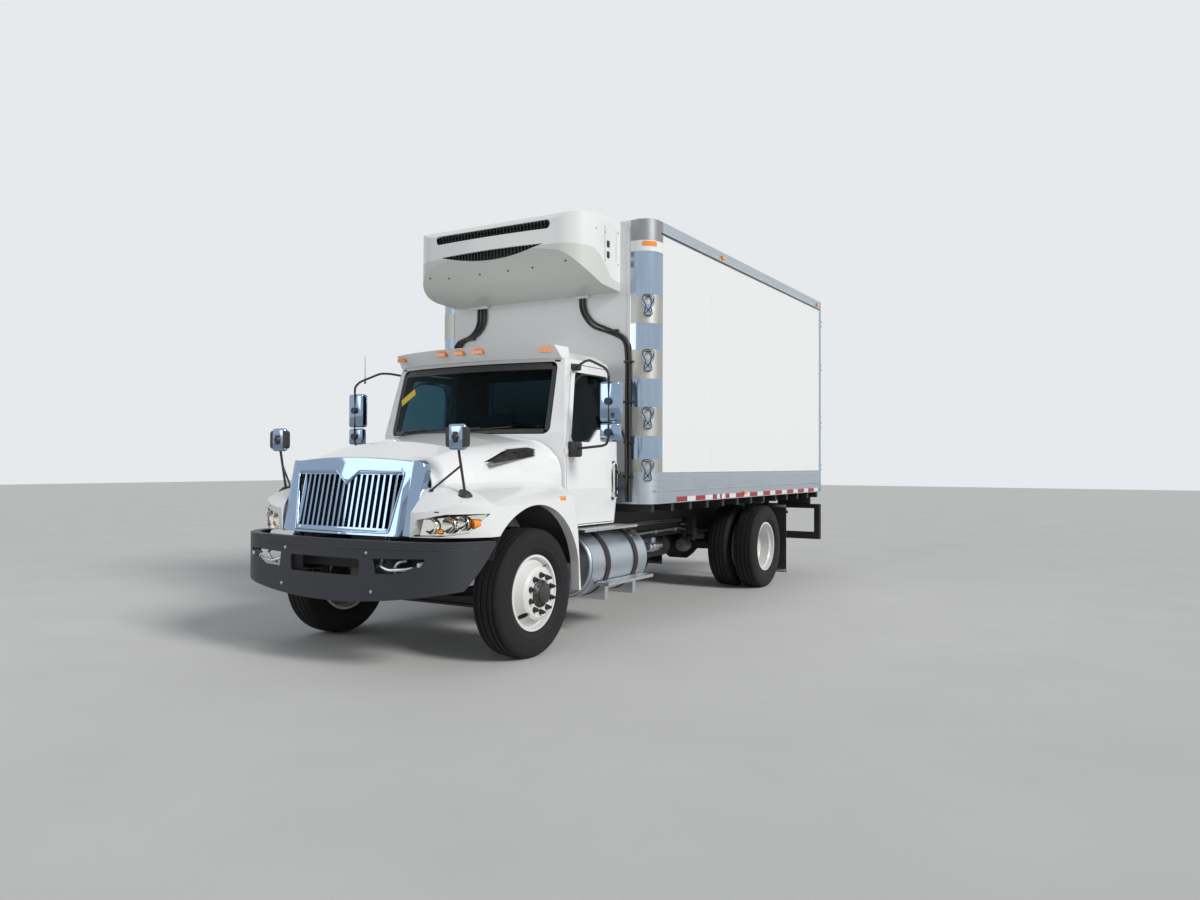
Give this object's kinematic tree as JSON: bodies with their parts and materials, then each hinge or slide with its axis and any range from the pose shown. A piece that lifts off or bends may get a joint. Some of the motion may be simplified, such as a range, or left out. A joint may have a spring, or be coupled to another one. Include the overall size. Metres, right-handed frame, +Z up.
{
  "type": "refrigerated box truck",
  "caption": "Two-axle refrigerated box truck with a tilting hood, day cab, insulated body, nose-mounted cooling unit and swinging rear doors.",
  "frame": {"origin": "centre of the truck's outline on the ground, midway along its length and width", "axes": "the truck faces -Y, +X is its left side, +Z is up"},
  "size_m": [3.08, 8.004, 3.8249],
  "materials": {
    "tyre_rubber": "matte",
    "wheel_white": "gloss",
    "chassis_black": "satin",
    "bumper_grey": "satin",
    "cast_metal": "matte",
    "cab_white": "gloss",
    "body_white": "satin",
    "unit_white": "gloss",
    "unit_beige": "satin",
    "tinted_glass": "gloss",
    "bright_chrome": "polished",
    "lamp_clear": "gloss",
    "lamp_amber": "gloss",
    "trim_grey": "matte",
    "trim_black": "satin",
    "seat_fabric": "matte",
    "floor_aluminium": "satin",
    "rail_aluminium": "satin",
    "polished_steel": "polished",
    "hose_rubber": "matte",
    "flap_rubber": "matte"
  },
  "bodies": {
    "root": {"front_axle": "chassis_black", "rear_axle": "chassis_black", "frame_rails": "chassis_black", "crossmembers": "chassis_black", "leaf_springs": "chassis_black", "frame_brackets": "chassis_black", "front_bumper": "bumper_grey", "engine": "cast_metal", "drive_shaft": "chassis_black", "cab_floor": "cab_white", "cab_roof": "cab_white", "cab_back": "cab_white", "cab_front": "cab_white", "cab_glass": "tinted_glass", "dashboard": "trim_grey", "seats": "seat_fabric", "front_wall": "body_white", "side_walls": "body_white", "cargo_floor": "floor_aluminium", "cargo_roof": "body_white", "body_rails": "rail_aluminium", "corner_posts": "polished_steel", "rear_frame": "polished_steel", "body_sills": "chassis_black", "reefer_unit": "unit_white", "reefer_cover": "unit_beige", "reefer_hoses": "hose_rubber", "fuel_tank": "rail_aluminium", "cab_steps": "rail_aluminium", "aftertreatment_box": "chassis_black", "air_tanks": "chassis_black", "rear_guard": "chassis_black", "mudflaps": "flap_rubber", "marker_lamps": "lamp_amber"},
    "hood": {"hood": "cab_white", "grille": "bright_chrome", "headlamps": "lamp_clear", "hood_mirrors": "bright_chrome"},
    "door_left": {"door_left": "cab_white", "door_glass_left": "tinted_glass", "mirror_left": "bright_chrome"},
    "door_right": {"door_right": "cab_white", "door_glass_right": "tinted_glass", "mirror_right": "bright_chrome"},
    "cargo_door_left": {"cargo_door_left": "body_white"},
    "cargo_door_right": {"cargo_door_right": "body_white"},
    "knuckle_left": {"knuckle_left": "chassis_black"},
    "knuckle_right": {"knuckle_right": "chassis_black"},
    "tie_rod": {"tie_rod": "chassis_black"},
    "front_wheel_left": {"front_tyre_left": "tyre_rubber", "front_rim_left": "wheel_white"},
    "front_wheel_right": {"front_tyre_right": "tyre_rubber", "front_rim_right": "wheel_white"},
    "rear_wheels_left": {"rear_tyres_left": "tyre_rubber", "rear_rims_left": "wheel_white"},
    "rear_wheels_right": {"rear_tyres_right": "tyre_rubber", "rear_rims_right": "wheel_white"},
    "steering_wheel": {"steering_wheel": "trim_black"}
  },
  "joints": [
    {"name": "hood_tilt", "type": "hinge", "parent": "root", "child": "hood", "pos_m": [0, -3.807, 0.955], "axis": [1, 0, 0], "range_deg": [0, 70]},
    {"name": "door_left_swing", "type": "hinge", "parent": "root", "child": "door_left", "pos_m": [1.03, -2.294, 1.5], "axis": [0, 0, -1], "range_deg": [0, 70]},
    {"name": "door_right_swing", "type": "hinge", "parent": "root", "child": "door_right", "pos_m": [-1.03, -2.294, 1.5], "axis": [0, 0, 1], "range_deg": [0, 70]},
    {"name": "cargo_door_left_swing", "type": "hinge", "parent": "root", "child": "cargo_door_left", "pos_m": [1.281, 3.988, 2.5], "axis": [0, 0, -1], "range_deg": [0, 265]},
    {"name": "cargo_door_right_swing", "type": "hinge", "parent": "root", "child": "cargo_door_right", "pos_m": [-1.281, 3.988, 2.5], "axis": [0, 0, 1], "range_deg": [0, 265]},
    {"name": "steer_left", "type": "hinge", "parent": "root", "child": "knuckle_left", "pos_m": [0.87, -2.882, 0.505], "axis": [0, 0, 1], "range_deg": [-35, 35]},
    {"name": "steer_right", "type": "hinge", "parent": "root", "child": "knuckle_right", "pos_m": [-0.87, -2.882, 0.505], "axis": [0, 0, 1], "range_deg": [-35, 35]},
    {"name": "tie_rod_swing", "type": "hinge", "parent": "knuckle_left", "child": "tie_rod", "pos_m": [0.87, -2.702, 0.372], "axis": [0, 0, 1], "range_deg": [-35, 35]},
    {"name": "steering_wheel_turn", "type": "hinge", "parent": "root", "child": "steering_wheel", "pos_m": [0.43, -1.982, 1.7], "axis": [0, 0.5843, 0.8115], "range_deg": [-560, 560]},
    {"name": "front_left_spin", "type": "hinge", "parent": "knuckle_left", "child": "front_wheel_left", "pos_m": [1.0225, -2.882, 0.505], "axis": [1, 0, 0], "continuous": true},
    {"name": "front_right_spin", "type": "hinge", "parent": "knuckle_right", "child": "front_wheel_right", "pos_m": [-1.0225, -2.882, 0.505], "axis": [1, 0, 0], "continuous": true},
    {"name": "rear_left_spin", "type": "hinge", "parent": "root", "child": "rear_wheels_left", "pos_m": [0.915, 2.02, 0.505], "axis": [1, 0, 0], "continuous": true},
    {"name": "rear_right_spin", "type": "hinge", "parent": "root", "child": "rear_wheels_right", "pos_m": [-0.915, 2.02, 0.505], "axis": [1, 0, 0], "continuous": true}
  ],
  "couplings": [
    {"joint": "steer_right", "follows": "steer_left", "ratio": 1},
    {"joint": "tie_rod_swing", "follows": "steer_left", "ratio": -1},
    {"joint": "steering_wheel_turn", "follows": "steer_left", "ratio": 16}
  ]
}
